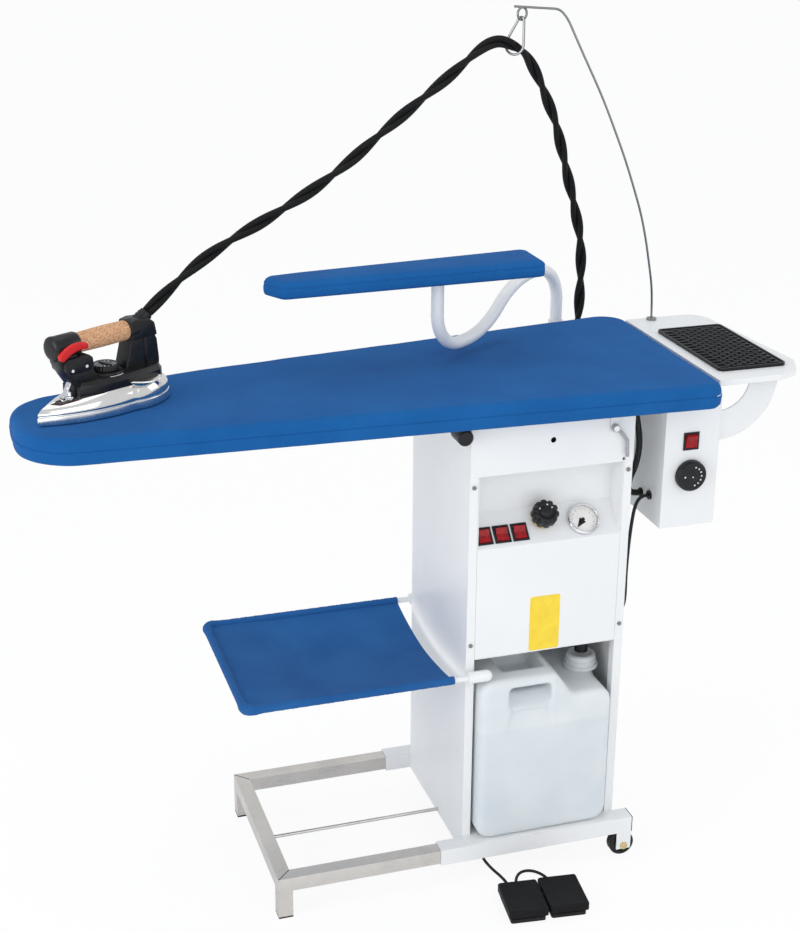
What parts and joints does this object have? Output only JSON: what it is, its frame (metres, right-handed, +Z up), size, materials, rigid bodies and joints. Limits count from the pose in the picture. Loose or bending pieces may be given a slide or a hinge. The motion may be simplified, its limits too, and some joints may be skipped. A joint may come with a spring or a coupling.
{
  "type": "heated vacuum ironing table",
  "caption": "Ironing table with a heated suction board on a sheet metal column, with a steam iron, a sleeve board, a basket and a water canister.",
  "frame": {"origin": "on the floor, under the middle of the table's own box without its hoses and leads", "axes": "+X runs along the board from its nose to the iron tray, +Y from the switches to the back, +Z up"},
  "size_m": [1.2985, 0.5882, 1.4489],
  "materials": {
    "white_sheet": "white powder coat, satin",
    "bright_wire": "bright zinc plated wire",
    "stainless_tube": "brushed stainless steel",
    "castor_rubber": "solid black tread",
    "black_plastic": "moulded, fine grain",
    "red_rocker": "translucent red, lamp inside",
    "red_lever": "moulded red",
    "polished_metal": "polished",
    "clear_lens": "clear",
    "brass": "turned",
    "natural_plastic": "blown natural polyethylene, milky",
    "blue_cloth": "plain weave cotton, royal blue",
    "grey_felt": "needled felt",
    "element_steel": "perforated sheet with tubular heaters",
    "mat_rubber": "ribbed silicone mat",
    "sole_aluminium": "polished sole",
    "cork": "fine grained cork",
    "hose_cloth": "braided black sheath",
    "cable_rubber": "black rubber lead"
  },
  "bodies": {
    "base": {"base_frame": "white_sheet", "left_side_panel": "white_sheet", "right_side_panel": "white_sheet", "back_panel": "white_sheet", "shelves": "white_sheet", "upper_cover": "white_sheet", "control_panel": "white_sheet", "fasteners": "bright_wire", "rocker_bezels": "black_plastic", "gauge_case": "polished_metal", "gauge_lens": "clear_lens", "boiler": "stainless_tube", "brass_fittings": "brass", "water_pump": "black_plastic", "caps_and_glands": "black_plastic", "pedal_bases": "black_plastic", "pedal_cable": "cable_rubber", "pedal_link": "cable_rubber"},
    "front_castor": {"castor_wheel_front": "castor_rubber"},
    "rear_castor": {"castor_wheel_rear": "castor_rubber"},
    "extension": {"extension_frame": "stainless_tube", "foot_caps": "black_plastic"},
    "canister": {"jerrycan": "natural_plastic"},
    "basket": {"basket_frame": "white_sheet", "basket_cloth": "blue_cloth"},
    "board": {"board_pan": "white_sheet", "heated_grid": "element_steel", "board_pad": "grey_felt", "board_cover": "blue_cloth", "board_hinge": "white_sheet", "fan_unit": "white_sheet", "control_box": "white_sheet", "box_fittings": "black_plastic", "iron_tray": "white_sheet", "tray_mat": "mat_rubber", "hose_holder": "bright_wire", "hose_lower": "hose_cloth", "element_lead": "cable_rubber", "supply_cable": "cable_rubber"},
    "impeller": {"fan_impeller": "black_plastic"},
    "hinge_knob": {"pivot_knob": "black_plastic"},
    "latch": {"latch_hook": "bright_wire"},
    "sleeve_swing": {"sleeve_arm": "white_sheet", "sleeve_board": "blue_cloth"},
    "iron": {"iron_sole": "sole_aluminium", "iron_shell": "polished_metal", "iron_body": "black_plastic", "iron_handle": "cork", "hose_upper": "hose_cloth"},
    "steam_lever": {"iron_button": "red_lever"},
    "heat_dial": {"iron_dial": "black_plastic"},
    "left_rocker": {"rocker_left": "red_rocker"},
    "middle_rocker": {"rocker_middle": "red_rocker"},
    "right_rocker": {"rocker_right": "red_rocker"},
    "board_rocker": {"box_rocker": "red_rocker"},
    "board_dial": {"box_dial": "black_plastic"},
    "steam_valve": {"steam_knob": "black_plastic"},
    "needle": {"gauge_needle": "black_plastic"},
    "left_pedal": {"pedal_left": "black_plastic"},
    "right_pedal": {"pedal_right": "black_plastic"}
  },
  "joints": [
    {"name": "front_castor_roll", "type": "hinge", "parent": "base", "child": "front_castor", "pos_m": [0.3493, -0.1324, 0.023], "axis": [0, 1, 0], "continuous": true},
    {"name": "rear_castor_roll", "type": "hinge", "parent": "base", "child": "rear_castor", "pos_m": [0.3493, 0.1896, 0.023], "axis": [0, 1, 0], "continuous": true},
    {"name": "extension_slide", "type": "slide", "parent": "base", "child": "extension", "axis": [1, 0, 0], "range_m": [0, 0.24]},
    {"name": "canister_out", "type": "slide", "parent": "base", "child": "canister", "axis": [0, -1, 0], "range_m": [0, 0.25]},
    {"name": "basket_out", "type": "slide", "parent": "base", "child": "basket", "axis": [-1, 0, 0], "range_m": [0, 0.06]},
    {"name": "board_fold", "type": "hinge", "parent": "base", "child": "board", "pos_m": [0.0368, -0.1174, 0.829], "axis": [0, -1, 0], "range_deg": [0, 45]},
    {"name": "impeller_spin", "type": "hinge", "parent": "board", "child": "impeller", "pos_m": [0.1868, 0.0326, 0.7761], "axis": [0, 0, 1], "continuous": true},
    {"name": "knob_turn", "type": "hinge", "parent": "board", "child": "hinge_knob", "pos_m": [0.0368, -0.1174, 0.829], "axis": [0, 1, 0], "range_deg": [0, 360]},
    {"name": "latch_swing", "type": "hinge", "parent": "board", "child": "latch", "pos_m": [0.2984, -0.1264, 0.817], "axis": [0, -1, 0], "range_deg": [0, 60]},
    {"name": "sleeve_board_swing", "type": "hinge", "parent": "board", "child": "sleeve_swing", "pos_m": [0.3568, 0.2746, 0.852], "axis": [0, 0, 1], "range_deg": [-90, 50]},
    {"name": "iron_glide", "type": "hinge", "parent": "board", "child": "iron", "pos_m": [0.2358, 0.2182, 0.891], "axis": [0, 0, 1], "range_deg": [-2, 4]},
    {"name": "steam_lever_press", "type": "hinge", "parent": "iron", "child": "steam_lever", "pos_m": [-0.5612, -0.05371, 0.9943], "axis": [-0.5, 0.866, 0], "range_deg": [0, 5], "stiffness_Nm_per_rad": 0.3, "springref_deg": -5.73},
    {"name": "heat_dial_turn", "type": "hinge", "parent": "iron", "child": "heat_dial", "pos_m": [-0.50082, 0.0017, 0.9513], "axis": [0, 0, 1], "range_deg": [0, 270]},
    {"name": "left_rocker_tip", "type": "hinge", "parent": "base", "child": "left_rocker", "pos_m": [0.0836, -0.10043, 0.64056], "axis": [1, 0, 0], "range_deg": [-18, 0]},
    {"name": "middle_rocker_tip", "type": "hinge", "parent": "base", "child": "middle_rocker", "pos_m": [0.1152, -0.10043, 0.64056], "axis": [1, 0, 0], "range_deg": [-18, 0]},
    {"name": "right_rocker_tip", "type": "hinge", "parent": "base", "child": "right_rocker", "pos_m": [0.1468, -0.10043, 0.64056], "axis": [1, 0, 0], "range_deg": [-18, 0]},
    {"name": "board_rocker_tip", "type": "hinge", "parent": "board", "child": "board_rocker", "pos_m": [0.4476, -0.1044, 0.771], "axis": [1, 0, 0], "range_deg": [-18, 0]},
    {"name": "board_dial_turn", "type": "hinge", "parent": "board", "child": "board_dial", "pos_m": [0.4488, -0.1054, 0.711], "axis": [0, -1, 0], "range_deg": [0, 270]},
    {"name": "steam_valve_turn", "type": "hinge", "parent": "base", "child": "steam_valve", "pos_m": [0.1904, -0.09357, 0.66057], "axis": [0, -0.7071, 0.7071], "range_deg": [0, 360]},
    {"name": "needle_turn", "type": "hinge", "parent": "base", "child": "needle", "pos_m": [0.2618, -0.0964, 0.64784], "axis": [0, 0.7071, -0.7071], "range_deg": [0, 240], "stiffness_Nm_per_rad": 0.0002, "springref_deg": -2.86},
    {"name": "left_pedal_press", "type": "hinge", "parent": "base", "child": "left_pedal", "pos_m": [0.12521, -0.20312, 0.013], "axis": [0.9936, -0.1132, 0], "range_deg": [0, 3.5], "stiffness_Nm_per_rad": 8, "springref_deg": -4.58},
    {"name": "right_pedal_press", "type": "hinge", "parent": "base", "child": "right_pedal", "pos_m": [0.19671, -0.20862, 0.013], "axis": [0.9936, -0.1132, 0], "range_deg": [0, 3.5], "stiffness_Nm_per_rad": 8, "springref_deg": -4.58}
  ]
}
